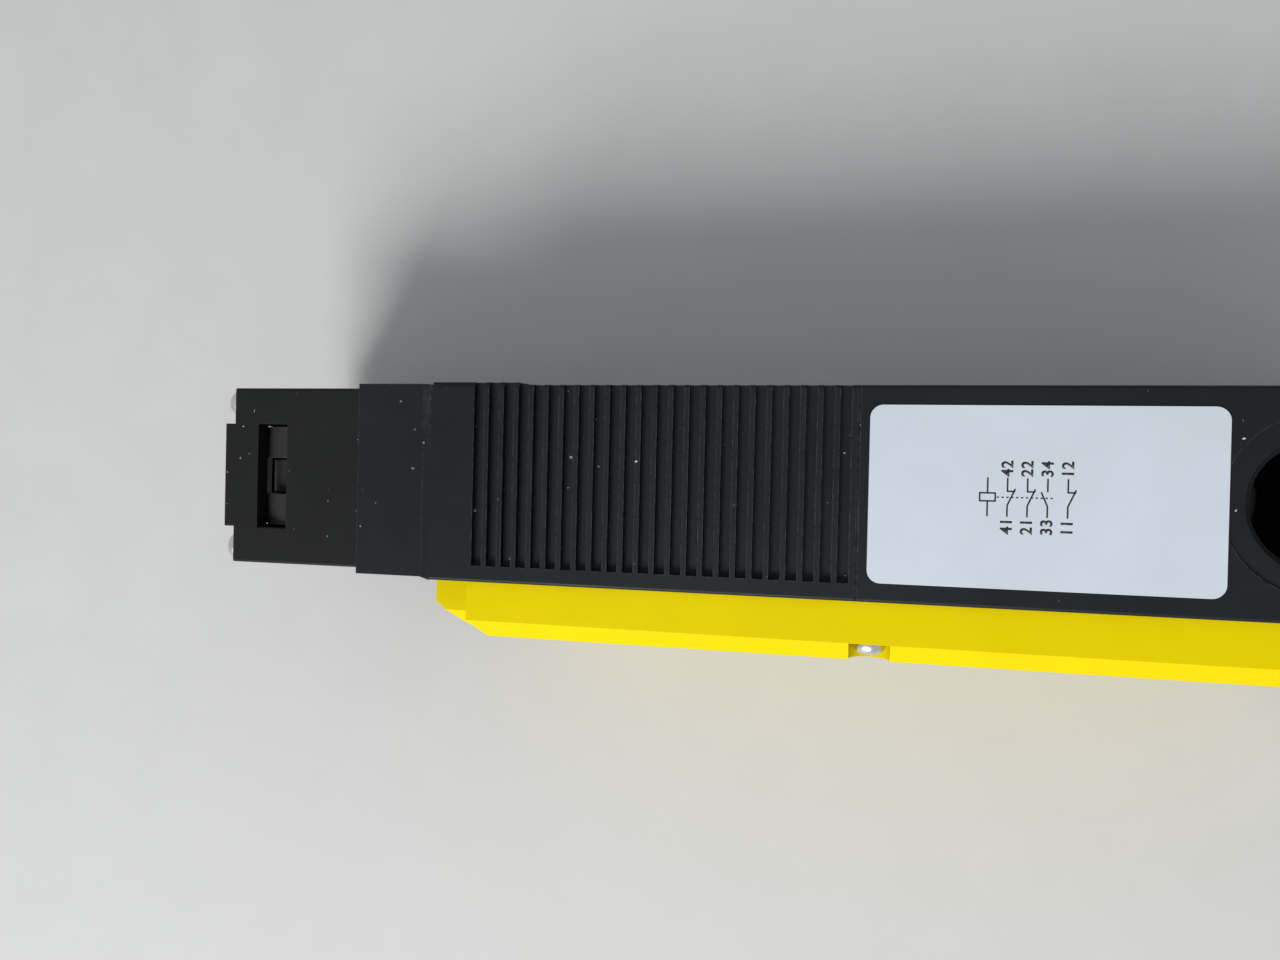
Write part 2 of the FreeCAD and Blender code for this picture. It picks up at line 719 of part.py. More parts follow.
def make_rating_plate():
    """Thin rating plate with rounded corners on the broad +Z side, left bare."""
    body = new_body("rating_plate")
    left = "seam_x + plate_from_seam"
    sheet = pad(body, "plate", "XY_Plane", "half_z",
                [rectangle(left, "middle_y - plate_width / 2", f"{left} + plate_length",
                           "middle_y + plate_width / 2")], "plate_thick")
    dress(body, "Fillet", "corners", sheet, lambda edge: edge.BoundBox.ZLength > 0.01, "plate_corner")


# ---------------------------------------------------------------- actuator head
def make_head_housing():
    """Cube-shaped head: raised end face, cam bore, channel to its base and two tongue slots."""
    body = new_body("head_housing")
    cube = pad(body, "cube", "YZ_Plane", "head_end_x",
               [rectangle("axis_y - head_half", "-head_half", "axis_y + head_half", "head_half")],
               "head_length")
    dress(body, "Fillet", "cube_edges", cube, lambda edge: edge.BoundBox.XLength > 1, "head_edge")
    step = "head_step_width / 2"
    pad(body, "raised_face", "YZ_Plane", "head_face_x",
        [rectangle(f"axis_y - {step}", "-head_half", f"axis_y + {step}", "head_half")],
        "head_step")
    inner = "cam_width / 2 + part_gap"
    bore = [("cam_x", "cam_z", "cam_bore_r")]
    pocket(body, "cam_bore", "XZ_Plane", "-axis_y", bore, f"2 * ({inner})", symmetric=True)
    channel = [rectangle("cam_x", "cam_z - cam_bore_r", "neck_x + 1", "channel_top")]
    pocket(body, "channel", "XZ_Plane", "-axis_y", channel, f"2 * ({inner})", symmetric=True)
    half = "slot_length / 2"
    near_edge, far_edge = "slot_near", "slot_near + slot_width"
    pocket(body, "side_slot", "XY_Plane", "head_half",
           [rectangle(f"cam_x - ({far_edge})", f"axis_y - {half}", f"cam_x - ({near_edge})",
                      f"axis_y + {half}")], "head_half - cam_z")
    slots = pocket(body, "end_slot", "YZ_Plane", "head_face_x",
                   [rectangle(f"axis_y - {half}", f"cam_z + {near_edge}", f"axis_y + {half}",
                              f"cam_z + {far_edge}")], "cam_x - head_face_x", against=True)
    doc.recompute()

    def slot_mouth(edge):
        box = edge.BoundBox
        reach = max(number("axis_y") - box.YMin, box.YMax - number("axis_y"))
        on_side = near(box.ZMin, number("head_half")) and near(box.ZMax, number("head_half"))
        return reach < number("head_step_width") / 2 and on_side

    dress(body, "Chamfer", "slot_leads", slots, slot_mouth, "slot_lead")
    shaft = [("cam_x", "cam_z", "shaft_r + shaft_fit / 2")]
    pocket(body, "shaft_hole", "XZ_Plane", "-(axis_y + head_half)", shaft,
           "head_half + cam_width / 2 + shaft_seat", against=True)
    corners = [(f"axis_y {a} head_screw_pitch / 2", f"{b}head_screw_pitch / 2",
                "head_screw_r + screw_gap") for a in "+-" for b in ("", "-")]
    pocket(body, "screw_holes", "YZ_Plane", "head_end_x", corners, against=True)


def make_head_screws():
    """Four long screws that hold the head on the neck."""
    master = turned_screw("head_screw_master", "head_screw_r - 2 * screw_gap", "head_screw_head_r",
                          "head_screw_head", "head_length + head_screw_grip - screw_tip_gap",
                          "head_screw_dome", star("head_screw_drive_r"))
    half = number("head_screw_pitch") / 2
    axis_y = number("axis_y")
    stations = [((number("head_end_x"), axis_y + a * half, b * half), (1, 0, 0))
                for a in (1, -1) for b in (1, -1)]
    copies("head_screws", master, stations)


def make_base_plate():
    """Plate in the head's base that closes the cam channel and lets the plunger through."""
    gap = "part_gap / 2"
    half_y = f"(cam_width / 2 + part_gap - {gap})"
    plate = block("base_plate_blank", ("neck_x - base_plate", f"axis_y - {half_y}",
                                       f"cam_z - cam_bore_r + {gap}"),
                  ("neck_x", f"axis_y + {half_y}", f"channel_top - {gap}"))
    hole = rod("base_plate_hole", "X", ("neck_x - base_plate - 1", "axis_y", "0"),
               "plunger_r + part_gap", "base_plate + 2")
    node(cut("head_base_plate", plate, hole), "head_base_plate")


def make_cam_shaft():
    shaft = rod("cam_shaft", "Y",
                ("cam_x", "axis_y - cam_width / 2 - shaft_seat + shaft_end_gap", "cam_z"),
                "shaft_r", "cam_width / 2 + shaft_seat + head_half - 2 * shaft_end_gap")
    node(shaft, "cam_shaft")


def follower_point(turn, inward):
    """Point of the cam's flank, in the cam's own frame, for a turn of the cam in degrees.

    The plunger's tip centre travels evenly with the turn. The flank is the curve beside that
    path, nearer the axis by the given distance, so the tip keeps one distance from it.
    """
    def tip(angle):
        reach = number("plunger_reach") - number("plunger_stroke") * angle / number("cam_turn")
        return FreeCAD.Vector(reach, -number("cam_z"), 0)

    def in_cam(angle):
        return FreeCAD.Rotation(FreeCAD.Vector(0, 0, 1), -angle).multVec(tip(angle))

    ahead, behind = in_cam(turn + 0.01), in_cam(turn - 0.01)
    along = (ahead - behind).normalize()
    outward = FreeCAD.Vector(-along.y, along.x, 0)
    here = in_cam(turn)
    if outward.dot(here) < 0:
        outward = outward * -1
    point = here - outward * inward
    return FreeCAD.Vector(point.x, 0, point.y)


def make_cam_wheel():
    """Cam: two outer discs with tongue catches and a middle disc with the plunger's flank."""
    inward = number("plunger_r") + number("tip_gap")
    last_turn = number("cam_turn") + number("cam_overrun")
    steps = 16
    flank = [follower_point(last_turn * k / steps, inward) for k in range(steps + 1)]
    dwell = flank[0].Length
    start_angle = math.atan2(flank[0].z, flank[0].x)
    end_angle = math.atan2(flank[-1].z, flank[-1].x) - math.radians(number("cam_step_angle"))
    step_point = FreeCAD.Vector(dwell * math.cos(end_angle), 0, dwell * math.sin(end_angle))
    middle = (start_angle + end_angle + math.tau) / 2
    arc_point = FreeCAD.Vector(dwell * math.cos(middle), 0, dwell * math.sin(middle))
    curve = Part.BSplineCurve()
    curve.interpolate(flank)
    wire = Part.Wire([curve.toShape(), Part.makeLine(flank[-1], step_point),
                      Part.Arc(step_point, arc_point, flank[0]).toShape()])
    waist = number("cam_throat") + 0.2
    middle_disc = Part.Face(wire).extrude(FreeCAD.Vector(0, waist, 0))
    middle_disc.translate(FreeCAD.Vector(0, -waist / 2, 0))
    slim = number("cam_waist")
    keep = Part.makeCylinder(2 * dwell, slim, FreeCAD.Vector(0, -slim / 2, 0), FreeCAD.Vector(0, 1, 0))
    hub = Part.makeCylinder(number("cam_hub_r"), waist, FreeCAD.Vector(0, -waist / 2, 0),
                            FreeCAD.Vector(0, 1, 0))
    cam = middle_disc.common(keep).fuse(hub)
    width = (number("cam_width") - number("cam_throat")) / 2
    radius = number("cam_r")
    for start in (-number("cam_width") / 2, number("cam_throat") / 2):
        disc = Part.makeCylinder(radius, width, FreeCAD.Vector(0, start, 0), FreeCAD.Vector(0, 1, 0))
        flat = Part.makeBox(2 * radius, width, radius,
                            FreeCAD.Vector(-radius, start, -number("cam_flat") - radius))
        catch_half = math.radians(number("cam_catch_half"))
        mouth, floor = radius + 1, radius - number("cam_catch_depth")
        corners = [(floor, -1), (mouth, -1), (mouth, 1), (floor, 1), (floor, -1)]
        notch = Part.makePolygon([
            FreeCAD.Vector(reach * math.cos(math.radians(135) + side * catch_half), start,
                           reach * math.sin(math.radians(135) + side * catch_half))
            for reach, side in corners])
        notch = Part.Face(notch).extrude(FreeCAD.Vector(0, width, 0))
        cam = cam.fuse(disc.cut(flat).cut(notch))
    bore_r = number("shaft_r") + number("shaft_fit")
    bore = Part.makeCylinder(bore_r, 3 * waist, FreeCAD.Vector(0, -1.5 * waist, 0), FreeCAD.Vector(0, 1, 0))
    cam = cam.cut(bore).removeSplitter()
    wheel = doc.addObject("Part::Feature", "cam_wheel")
    wheel.Shape = cam
    wheel.Placement.Base = FreeCAD.Vector(number("cam_x"), number("axis_y"), number("cam_z"))
    node(wheel, "cam_wheel")


# ---------------------------------------------------------------- plunger
def make_plunger():
    """Turned plunger: round tip on the cam, spring collar, long rod and the pin's seat."""
    body = new_body("plunger")
    profile = [("rod_tip_x", "0"), ("rod_tip_x", "plunger_r"), ("collar_x", "plunger_r"),
               ("collar_x", "collar_r"), ("collar_x + collar_thick", "collar_r"),
               ("collar_x + collar_thick", "plunger_r"), ("waist_x", "plunger_r"),
               ("waist_x", "waist_r + press_gap"), ("waist_x - waist_seat", "waist_r + press_gap"),
               ("waist_x - waist_seat", "0")]
    turned = revolved(body, "turned_rod", "XZ_Plane", "-axis_y", profile, "H")
    ball = body.newObject("PartDesign::AdditiveSphere", "tip")
    bind(ball, "Radius", "plunger_r")
    ball.AttachmentSupport = turned.Profile[0].AttachmentSupport
    ball.MapMode = "FlatFace"
    bind(ball, "AttachmentOffset.Base.x", "rod_tip_x")
    bind(ball, "AttachmentOffset.Base.z", "-axis_y")
    body.Tip = ball


def make_lock_waist():
    """Thin pin pressed in the plunger's end, and the collar on it that the bolt holds back."""
    seat = "(waist_x - waist_seat + seal_gap)"
    node(rod("waist_pin", "X", (seat, "axis_y", "0"), "waist_r", f"rod_end_x - {seat}"), "waist_pin")
    ring = rod("lock_collar_blank", "X", ("waist_end_x", "axis_y", "0"), "plunger_r", "waist_head")
    hole = rod("lock_collar_hole", "X", ("waist_end_x - 1", "axis_y", "0"), "waist_r + press_gap",
               "waist_head + 2")
    node(cut("lock_collar", ring, hole), "lock_collar")


def make_plunger_guides():
    """Flanged bush in the neck and the lip seal behind it."""
    body = new_body("plunger_bush")
    bush_end = "(neck_x + bush_length - seal_room)"
    profile = [("neck_x", "plunger_r + plunger_fit"), (bush_end, "plunger_r + plunger_fit"),
               (bush_end, "bush_r - press_gap"), ("neck_x", "bush_r - press_gap")]
    revolved(body, "turned_bush", "XZ_Plane", "-axis_y", profile, "H")
    seal = new_body("plunger_seal")
    start, stop = f"{bush_end} + seal_gap", "neck_x + bush_length - seal_gap"
    profile = [(start, "plunger_r + seal_gap"), (stop, "plunger_r + seal_gap + seal_taper"),
               (stop, "bush_r - press_gap"), (start, "bush_r - press_gap")]
    revolved(seal, "lip_seal", "XZ_Plane", "-axis_y", profile, "H")


def coil_spring(label, start_x, length, mean_r):
    """Compression spring along X round the plunger axis: eight-sided wire in short steps."""
    sides, steps = 8, int(16 * number("spring_turns"))
    wire_r = number("spring_wire_r")
    rise = length - 2 * wire_r
    rings = []
    for k in range(steps + 1):
        turn = FreeCAD.Rotation(FreeCAD.Vector(1, 0, 0), 360 * number("spring_turns") * k / steps)
        corners = []
        for side in range(sides + 1):
            angle = math.tau * (side + 0.5) / sides
            corner = FreeCAD.Vector(wire_r * math.cos(angle), mean_r + wire_r * math.sin(angle), 0)
            corners.append(turn.multVec(corner) + FreeCAD.Vector(rise * k / steps, 0, 0))
        rings.append(Part.makePolygon(corners))
    spring = doc.addObject("Part::Feature", label)
    spring.Shape = Part.makeLoft(rings, True, True)
    spring.Placement.Base = FreeCAD.Vector(start_x + wire_r, number("axis_y"), 0)
    node(spring, label)


def make_springs():
    play = number("seal_gap")
    coil_spring("plunger_spring", number("collar_x") + number("collar_thick") + play,
                number("spring_room") - 2 * play, number("plunger_r") + number("plunger_spring_gap"))
    start = number("armature_x") + number("armature_head") + play
    coil_spring("armature_spring", start, number("armature_spring_room") - 2 * play,
                number("armature_r") + number("armature_spring_gap"))


# ---------------------------------------------------------------- contact block
BRIDGE_ROWS = (("back", "(axis_y + plunger_r + 1)"), ("front", "(axis_y - plunger_r - 1 - bridge_width)"))


def make_contact_block():
    """Insulating frame for the contacts, with walls that the plunger's rod passes."""
    mid, half_y, half_z = "axis_y", "contact_half_y", "contact_half_z"
    blank = block("contact_blank", ("contact_x", f"{mid} - {half_y}", f"-{half_z}"),
                  ("contact_end_x", "-cavity_floor", half_z))
    room = block("contact_room",
                 ("contact_x + contact_wall", f"{mid} - {half_y} - 1", f"-{half_z} + contact_cheek"),
                 ("contact_end_x - contact_wall", f"{mid} + {half_y} - contact_floor",
                  f"{half_z} - contact_cheek"))
    hole = rod("contact_hole", "X", ("contact_x - 1", mid, "0"), "plunger_r + part_gap",
               "contact_length + 2")
    node(cut("contact_base", blank, room, hole), "contact_base")


def make_contact_carrier():
    """Slider on the plunger that carries the moving contacts."""
    blank = block("carrier_blank", ("carrier_x", "axis_y - carrier_half_y", "-carrier_half_z"),
                  ("carrier_x + carrier_length", "axis_y + carrier_half_y", "carrier_half_z"))
    hole = rod("carrier_hole", "X", ("carrier_x - 1", "axis_y", "0"), "plunger_r + press_gap",
               "carrier_length + 2")
    slots = []
    for row, low_y in BRIDGE_ROWS:
        for k in range(int(number("bridge_count"))):
            middle = bridge_middle(k)
            slots.append(block(f"carrier_slot_{row}_{k}",
                               (f"{middle} - bridge_thick / 2", low_y, "-carrier_half_z - 1"),
                               (f"{middle} + bridge_thick / 2", f"{low_y} + bridge_width",
                                "carrier_half_z + 1")))
    node(cut("contact_carrier", blank, hole, *slots), "contact_carrier")


def bridge_middle(k):
    return f"(carrier_x + carrier_length / 2 + ({k} - (bridge_count - 1) / 2) * bridge_pitch)"


def make_contacts():
    """Bridging contacts on the slider and the fixed contact pairs in the frame's cheeks."""
    bridges = []
    pairs = []
    cheek = "(contact_half_z - contact_cheek)"
    for row, low_y in BRIDGE_ROWS:
        for k in range(int(number("bridge_count"))):
            middle = bridge_middle(k)
            bridges.append(block(f"bridge_{row}_{k}",
                                 (f"{middle} - bridge_thick / 2", low_y, "-bridge_half_z"),
                                 (f"{middle} + bridge_thick / 2", f"{low_y} + bridge_width",
                                  "bridge_half_z")))
            start = f"{middle} + bridge_thick / 2 + contact_gap"
            for side, low_z, high_z in (("a", "bridge_half_z - contact_lap", cheek),
                                        ("b", f"-{cheek}", "contact_lap - bridge_half_z")):
                pairs.append(block(f"fixed_{row}_{k}{side}", (start, f"{low_y} - 1", low_z),
                                   (f"{start} + contact_strip", f"{low_y} + bridge_width + 1", high_z)))
    group("contact_bridges", bridges)
    group("fixed_contacts", pairs)


# ---------------------------------------------------------------- lock
def make_lock_bolt():
    """Round bolt across the plunger's waist, with the cross pin that the link plate lifts."""
    bolt = rod("bolt_blank", "Z", ("bolt_x", "axis_y", "bolt_low_z"), "bolt_r", "bolt_length")
    hole = rod("bolt_hole", "Y", ("bolt_x", "axis_y - bolt_r - 1", "pin_rest_z"), "cross_pin_r",
               "2 * bolt_r + 2")
    node(cut("lock_bolt", bolt, hole), "lock_bolt")
    pin = rod("cross_pin", "Y", ("bolt_x", "axis_y - bolt_r", "pin_rest_z"), "cross_pin_r",
              "bolt_r + link_offset + link_thick + pin_stand")
    node(pin, "cross_pin")


def make_lock_bracket():
    """Bent bracket on the contact frame whose two ears guide the bolt."""
    low = "axis_y - ear_half - bracket_thick"
    web = block("bracket_web", ("contact_end_x", low, "lock_ear_low"),
                ("bolt_x + ear_half", f"{low} + bracket_thick", "lock_ear_high + ear_thick"))
    ears = [block(f"ear_{k}", ("bolt_x - ear_half", low, height),
                  ("bolt_x + ear_half", "axis_y + ear_half", f"{height} + ear_thick"))
            for k, height in enumerate(("lock_ear_low", "lock_ear_high"))]
    hole = rod("bracket_hole", "Z", ("bolt_x", "axis_y", "0"), "bolt_r + bolt_fit", "half_z")
    node(cut("lock_bracket", fuse("bracket_blank", web, *ears), hole), "lock_bracket")


def make_link_plate():
    """Steel plate on the armature with the 45 degree slot that lifts the bolt."""
    body = new_body("link_plate")
    top = "pin_rest_z + bolt_travel + link_margin"
    left = "bolt_x - bolt_travel - link_margin"
    seat = "armature_x + armature_head"
    profile = [(seat, "-link_margin"), (seat, "link_margin"),
               ("armature_x - link_nose", "link_margin + link_nose"), ("bolt_x + link_margin", top),
               (left, top), (left, "pin_rest_z - link_margin"), ("armature_x - link_foot", "-link_margin")]
    pad(body, "plate", "XZ_Plane", "-(axis_y + link_offset + link_thick)", [profile], "link_thick")
    half = "(cross_pin_r + cross_pin_fit) * 0.70711"
    start_x, start_z = "bolt_x + slot_overrun", "pin_rest_z - slot_overrun"
    stop_x = "bolt_x - bolt_travel - slot_overrun"
    stop_z = "pin_rest_z + bolt_travel + slot_overrun"
    slot = [(f"{start_x} - {half}", f"{start_z} - {half}"), (f"{start_x} + {half}", f"{start_z} + {half}"),
            (f"{stop_x} + {half}", f"{stop_z} + {half}"), (f"{stop_x} - {half}", f"{stop_z} - {half}")]
    ends = [(start_x, start_z, "cross_pin_r + cross_pin_fit"), (stop_x, stop_z, "cross_pin_r + cross_pin_fit")]
    pocket(body, "slot", "XZ_Plane", "-axis_y", [slot])
    for k, end in enumerate(ends):
        pocket(body, f"slot_end_{k}", "XZ_Plane", "-axis_y", [end])


# ---------------------------------------------------------------- solenoid
def make_solenoid():
    """Magnet frame on the casing floor, bobbin, winding and the fixed core."""
    mid, half_z = "axis_y", "frame_half_z"
    blank = block("frame_blank", ("frame_x", f"{mid} - frame_half_y", f"-{half_z}"),
                  ("frame_end_x", "-cavity_floor", half_z))
    room = block("frame_room", ("frame_x + frame_thick", f"{mid} - frame_half_y - 1", f"-{half_z} - 1"),
                 ("frame_end_x - frame_thick", "-cavity_floor - frame_thick", f"{half_z} + 1"))
    hole = rod("frame_hole", "X", ("frame_x - 1", mid, "0"), "armature_r + armature_fit", "frame_thick + 2")
    node(cut("solenoid_frame", blank, room, hole), "solenoid_frame")

    start, stop = "(frame_x + frame_thick)", "(frame_end_x - frame_thick)"
    inner = "armature_r + armature_fit"
    barrel = f"{inner} + bobbin_wall"
    profile = [(start, inner), (stop, inner), (stop, "coil_r"), (f"{stop} - bobbin_flange", "coil_r"),
               (f"{stop} - bobbin_flange", barrel), (f"{start} + bobbin_flange", barrel),
               (f"{start} + bobbin_flange", "coil_r"), (start, "coil_r")]
    bobbin = new_body("coil_bobbin")
    revolved(bobbin, "bobbin_turned", "XZ_Plane", "-axis_y", profile, "H")

    left, right = f"{start} + bobbin_flange + coil_gap", f"{stop} - bobbin_flange - coil_gap"
    winding = new_body("coil_winding")
    revolved(winding, "winding_turned", "XZ_Plane", "-axis_y",
             [(left, barrel), (right, barrel), (right, "coil_r - bobbin_wall"),
              (left, "coil_r - bobbin_wall")], "H")

    core_x = "armature_x + armature_head + armature_length + bolt_travel + part_gap"
    core = rod("fixed_core", "X", (core_x, mid, "0"), "armature_r", f"{stop} - ({core_x})")
    node(core, "fixed_core")


def make_armature():
    """Sliding iron core with the head that holds the link plate and the return spring."""
    body = new_body("armature")
    head_end = "armature_x + armature_head"
    tail = f"{head_end} + armature_length"
    revolved(body, "armature_turned", "XZ_Plane", "-axis_y",
             [("armature_x", "0"), ("armature_x", "armature_head_r"), (head_end, "armature_head_r"),
              (head_end, "armature_r"), (tail, "armature_r"), (tail, "0")], "H")
    pocket(body, "link_seat", "YZ_Plane", "armature_x",
           [rectangle("axis_y + link_offset", "-armature_head_r - 1",
                      "axis_y + armature_head_r + 1", "armature_head_r + 1")],
           "armature_head", against=True)


# ---------------------------------------------------------------- wiring
def terminal_middle(k):
    return f"(terminal_start + ({k} + 0.5) * terminal_pitch)"


def make_terminals():
    """Two five-pole terminal blocks beside the solenoid, with clamps and screws."""
    blocks = []
    clamps = []
    top_y = "(-cavity_floor - terminal_depth)"
    outer_z = "(cavity_wide_z - terminal_from_wall)"
    poles = int(number("terminal_count"))
    stations = []
    for name, sign in (("upper", 1), ("lower", -1)):
        span = (f"{outer_z} - terminal_width", outer_z)
        low_z, high_z = span if sign > 0 else (f"-{span[1]}", f"-({span[0]})")
        blank = block(f"terminals_{name}", ("terminal_start", top_y, low_z),
                      ("terminal_start + terminal_count * terminal_pitch", "-cavity_floor", high_z))
        tools = []
        for k in range(poles):
            middle = terminal_middle(k)
            half = "(terminal_pitch / 2 - terminal_rib)"
            inner_open = (f"{low_z} - 1", f"{high_z} - terminal_rib")
            outer_open = (f"{low_z} + terminal_rib", f"{high_z} + 1")
            start_z, stop_z = inner_open if sign > 0 else outer_open
            tools.append(block(f"pole_{name}_{k}", (f"{middle} - {half}", f"{top_y} - 1", start_z),
                               (f"{middle} + {half}", f"{top_y} + terminal_recess", stop_z)))
            centre_z = f"{sign} * ({outer_z} - terminal_width / 2)"
            tools.append(rod(f"pole_hole_{name}_{k}", "Y", (middle, f"{top_y}", centre_z),
                             "terminal_screw_r", "terminal_recess + terminal_screw_length"))
            plate = block(f"clamp_blank_{name}_{k}",
                          (f"{middle} - clamp_width / 2", f"{top_y} + terminal_recess - clamp_thick",
                           f"{centre_z} - clamp_width / 2"),
                          (f"{middle} + clamp_width / 2", f"{top_y} + terminal_recess",
                           f"{centre_z} + clamp_width / 2"))
            hole = rod(f"clamp_hole_{name}_{k}", "Y", (middle, f"{top_y}", centre_z),
                       "terminal_screw_r", "terminal_recess + 2")
            clamps.append(cut(f"clamp_{name}_{k}", plate, hole))
            stations.append((middle, centre_z))
        blocks.append(cut(f"terminal_block_{name}", blank, *tools))
    group("terminal_blocks", blocks)
    group("terminal_clamps", clamps)
    blade = rectangle("-(terminal_screw_head_r + 1)", "-terminal_drive_half",
                      "terminal_screw_head_r + 1", "terminal_drive_half")
    master = turned_screw("terminal_screw_master", "terminal_screw_r - 2 * screw_gap",
                          "terminal_screw_head_r", "terminal_screw_head", "terminal_screw_length",
                          "terminal_screw_dome", blade)
    seat = -number("cavity_floor") - number("terminal_depth") + number("terminal_recess") \
        - number("clamp_thick")
    pitch = number("terminal_pitch")
    centre = number("cavity_wide_z") - number("terminal_from_wall") - number("terminal_width") / 2
    copies("terminal_screws", master,
           [((number("terminal_start") + (k + 0.5) * pitch, seat, side * centre), (0, 1, 0))
            for side in (1, -1) for k in range(poles)])


def make_board():
    """Rectifier board on the contact frame, with its bridge, capacitor and varistor."""
    low = "(axis_y - contact_half_y - board_thick)"
    start = "(contact_x + board_inset)"
    board = block("rectifier_board", (start, low, "-board_half_z"),
                  (f"{start} + board_length", f"{low} + board_thick", "board_half_z"))
    node(board, "rectifier_board")
    diode_x, diode_z = f"({start} + diode_from_end)", "(-board_half_z + diode_from_edge)"
    bridge = block("diode_bridge", (diode_x, f"{low} - diode_height", diode_z),
                   (f"{diode_x} + diode_length", low, f"{diode_z} + diode_width"))
    capacitor = rod("capacitor", "Y", (f"{start} + capacitor_from_end", f"{low} - capacitor_height",
                                       "board_half_z - capacitor_from_edge"),
                    "capacitor_r", "capacitor_height")
    varistor_x, varistor_z = f"({start} + varistor_from_end)", "(-board_half_z + varistor_from_edge)"
    varistor = block("varistor", (varistor_x, f"{low} - varistor_height", varistor_z),
                     (f"{varistor_x} + varistor_length", low, f"{varistor_z} + varistor_width"))
    group("board_components", [bridge, capacitor, varistor])


# ---------------------------------------------------------------- manual release
def make_release():
    """Slotted release spindle in the cover, its seal ring, retaining clip and finger."""
    x, z = "release_x", "release_z"
    head_low = "(-lid_front + part_gap / 2)"
    shaft_end = "(axis_y + link_offset + link_thick + release_reach)"
    head = rod("release_head", "Y", (x, head_low, z), "release_head_r", "release_head")
    shaft = rod("release_shaft", "Y", (x, head_low, z), "release_r", f"{shaft_end} - {head_low}")
    finger = block("release_finger", (f"{x} - release_finger", f"{shaft_end} - release_finger_depth",
                                      f"{z} - release_finger_half"),
                   (x, shaft_end, f"{z} + release_finger_half"))
    slot = block("release_slot", (f"{x} - release_head_r - 1", f"{head_low} - 1", f"{z} - release_slot / 2"),
                 (f"{x} + release_head_r + 1", f"{head_low} + release_slot_depth", f"{z} + release_slot / 2"))
    node(cut("release_spindle", fuse("release_blank", head, shaft, finger), slot), "release_spindle")
    seat = "-release_boss_end - seal_section"
    ring = rod("release_seal_blank", "Y", (x, seat, z), "release_r + seal_section", "seal_section")
    bore = rod("release_seal_bore", "Y", (x, f"{seat} - 1", z), "release_r + shaft_fit", "seal_section + 2")
    node(cut("release_seal", ring, bore), "release_seal")
    clip_y = "-release_boss_end + part_gap / 2"
    clip = rod("release_clip_blank", "Y", (x, clip_y, z), "release_r + clip_margin", "clip_thick")
    clip_bore = rod("release_clip_bore", "Y", (x, f"{clip_y} - 1", z), "release_r", "clip_thick + 2")
    node(cut("release_clip", clip, clip_bore), "release_clip")


# ---------------------------------------------------------------- build and write
make_housing()
make_lid()
make_lid_seal()
make_lid_screws()
make_rating_plate()
make_head_housing()
make_head_screws()
make_base_plate()
make_cam_shaft()
make_cam_wheel()
make_plunger()
make_lock_waist()
make_plunger_guides()
make_springs()
make_contact_block()
make_contact_carrier()
make_contacts()
make_lock_bolt()
make_lock_bracket()
make_link_plate()
make_solenoid()
make_armature()
make_terminals()
make_board()
make_release()
doc.recompute()

for item in doc.Objects:
    if "Invalid" in item.State or "Error" in item.State:
        raise RuntimeError(f"{item.Label} failed: {item.State}")
for piece in NODES:
    if piece.Shape.isNull() or not piece.Shape.isValid() or not piece.Shape.Solids:
        raise RuntimeError(f"{piece.Label} is not a valid solid")

os.makedirs("parts", exist_ok=True)
for piece in NODES:
    piece.Shape.exportStep(f"parts/{piece.Label}.step")
    print(piece.Label, len(piece.Shape.Solids), round(piece.Shape.Volume, 1))
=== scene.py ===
import bpy
import json
import math
from mathutils import Matrix, Vector


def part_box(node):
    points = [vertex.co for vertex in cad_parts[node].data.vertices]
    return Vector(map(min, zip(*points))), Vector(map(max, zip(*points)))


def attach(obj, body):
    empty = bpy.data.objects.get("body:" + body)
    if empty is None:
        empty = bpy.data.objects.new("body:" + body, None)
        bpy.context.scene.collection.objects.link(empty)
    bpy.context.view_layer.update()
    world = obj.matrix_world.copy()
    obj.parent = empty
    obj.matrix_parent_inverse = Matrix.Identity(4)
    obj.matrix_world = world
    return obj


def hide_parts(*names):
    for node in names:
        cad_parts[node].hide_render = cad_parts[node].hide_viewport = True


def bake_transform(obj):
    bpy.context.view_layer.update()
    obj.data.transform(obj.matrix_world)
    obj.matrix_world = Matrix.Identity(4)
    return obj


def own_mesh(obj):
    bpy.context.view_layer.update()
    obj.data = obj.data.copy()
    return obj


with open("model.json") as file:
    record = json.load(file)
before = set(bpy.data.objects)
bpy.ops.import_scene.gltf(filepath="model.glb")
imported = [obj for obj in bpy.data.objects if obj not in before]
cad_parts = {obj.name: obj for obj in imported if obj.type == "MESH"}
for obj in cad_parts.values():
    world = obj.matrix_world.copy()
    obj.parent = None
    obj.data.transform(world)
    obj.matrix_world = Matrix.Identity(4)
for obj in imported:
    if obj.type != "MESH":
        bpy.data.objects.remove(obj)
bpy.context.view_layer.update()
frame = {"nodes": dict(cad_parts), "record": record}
cad = frame["nodes"]


# ---------------------------------------------------------------- casing
# The long casing is injection-moulded in glass-filled black plastic. Its ribs, neck and
# mounting pads come out of one tool, so it has one fine spark-eroded grain all over.


def add(tree, kind, inputs=None, **settings):
    """Shader node with its settings, its inputs set or linked."""
    made = tree.nodes.new("ShaderNode" + kind)
    for key, value in settings.items():
        setattr(made, key, value)
    for socket, value in (inputs or {}).items():
        if isinstance(value, bpy.types.NodeSocket):
            tree.links.new(value, made.inputs[socket])
        else:
            made.inputs[socket].default_value = value
    return made


def effect(name, inputs, outputs):
    """Empty shader node group with float inputs and the given outputs."""
    group = bpy.data.node_groups.new(name, "ShaderNodeTree")
    for socket, value in inputs.items():
        made = group.interface.new_socket(socket, in_out="INPUT", socket_type="NodeSocketFloat")
        made.default_value = value
    for socket in outputs:
        group.interface.new_socket(socket, in_out="OUTPUT", socket_type="NodeSocketFloat")
    given = group.nodes.new("NodeGroupInput")
    result = group.nodes.new("NodeGroupOutput")
    return group, given.outputs, result.inputs


